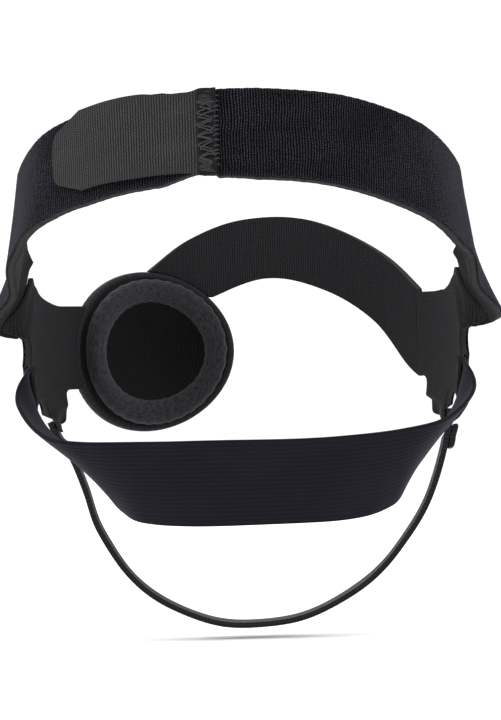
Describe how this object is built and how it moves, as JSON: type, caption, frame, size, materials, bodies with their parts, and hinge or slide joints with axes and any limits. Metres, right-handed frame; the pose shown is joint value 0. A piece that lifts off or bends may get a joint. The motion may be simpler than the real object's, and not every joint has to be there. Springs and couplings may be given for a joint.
{
  "type": "eye patch",
  "caption": "Moulded one-eye patch cup on a soft head harness with an upper hook-and-loop strap, a nape elastic and a narrow chin stay.",
  "frame": {"origin": "middle of the head opening, level with the ear canals", "axes": "+Z to the crown of the head, -Y the way the face looks, +X the wearer's left"},
  "size_m": [0.1775, 0.1981, 0.1818],
  "materials": {
    "loop_fabric": "brushed black loop pile",
    "laminate_foam": "black cut foam edge",
    "lining_fabric": "smooth black knit lining",
    "hook_tape": "dark grey woven hook tape backing",
    "hook_hooks": "moulded hooks, black",
    "thread": "black twisted sewing thread",
    "knit_elastic": "ribbed blue-black knit elastic",
    "chin_webbing": "black narrow woven webbing",
    "cup_fabric": "moulded black knit, matt",
    "binding_tape": "folded black knit binding",
    "cushion_fabric": "soft brushed black knit over foam"
  },
  "bodies": {
    "patch": {"left_yoke_lining": "lining_fabric", "left_yoke_foam": "laminate_foam", "left_yoke_face": "loop_fabric", "right_yoke_lining": "lining_fabric", "right_yoke_foam": "laminate_foam", "right_yoke_face": "loop_fabric", "brow_band_lining": "lining_fabric", "brow_band_foam": "laminate_foam", "brow_band_face": "loop_fabric", "upper_strap_left_lining": "lining_fabric", "upper_strap_left_foam": "laminate_foam", "upper_strap_left_face": "loop_fabric", "eye_cup_shell": "cup_fabric", "eye_cup_core": "laminate_foam", "eye_cup_lining": "lining_fabric", "cup_edge_binding": "binding_tape", "eye_cushion_ring": "cushion_fabric", "upper_seam_stitch_left": "thread"},
    "right_strap": {"upper_strap_right_lining": "lining_fabric", "upper_strap_right_foam": "laminate_foam", "upper_strap_right_face": "loop_fabric", "hook_tab_sewn_end": "hook_tape", "tab_zigzag_stitch": "thread", "tab_bartacks": "thread", "upper_seam_stitch_right": "thread"},
    "hook_tab": {"hook_tab_backing": "hook_tape", "hook_tab_hooks": "hook_hooks"},
    "nape_strap": {"nape_elastic": "knit_elastic", "nape_seam_stitch_right": "thread", "nape_seam_stitch_left": "thread"},
    "chin_strap": {"chin_strap": "chin_webbing", "chin_strap_fold": "chin_webbing", "chin_seam_stitch_right": "thread", "chin_seam_stitch_left": "thread"}
  },
  "joints": [
    {"name": "right_strap_open", "type": "hinge", "parent": "patch", "child": "right_strap", "pos_m": [-0.0787, -0.02425, 0.0204], "axis": [0.143, -0.3828, 0.9127], "range_deg": [0, 40]},
    {"name": "tab_peel", "type": "hinge", "parent": "right_strap", "child": "hook_tab", "pos_m": [0.01323, 0.09226, 0.07164], "axis": [0.0042, -0.28, 0.96], "range_deg": [0, 110]},
    {"name": "nape_swing", "type": "hinge", "parent": "patch", "child": "nape_strap", "pos_m": [0, -0.044, 0.006], "axis": [1, 0, 0], "range_deg": [-20, 14]},
    {"name": "chin_swing", "type": "hinge", "parent": "patch", "child": "chin_strap", "pos_m": [0, -0.044, 0.006], "axis": [1, 0, 0], "range_deg": [-28, 10]}
  ]
}
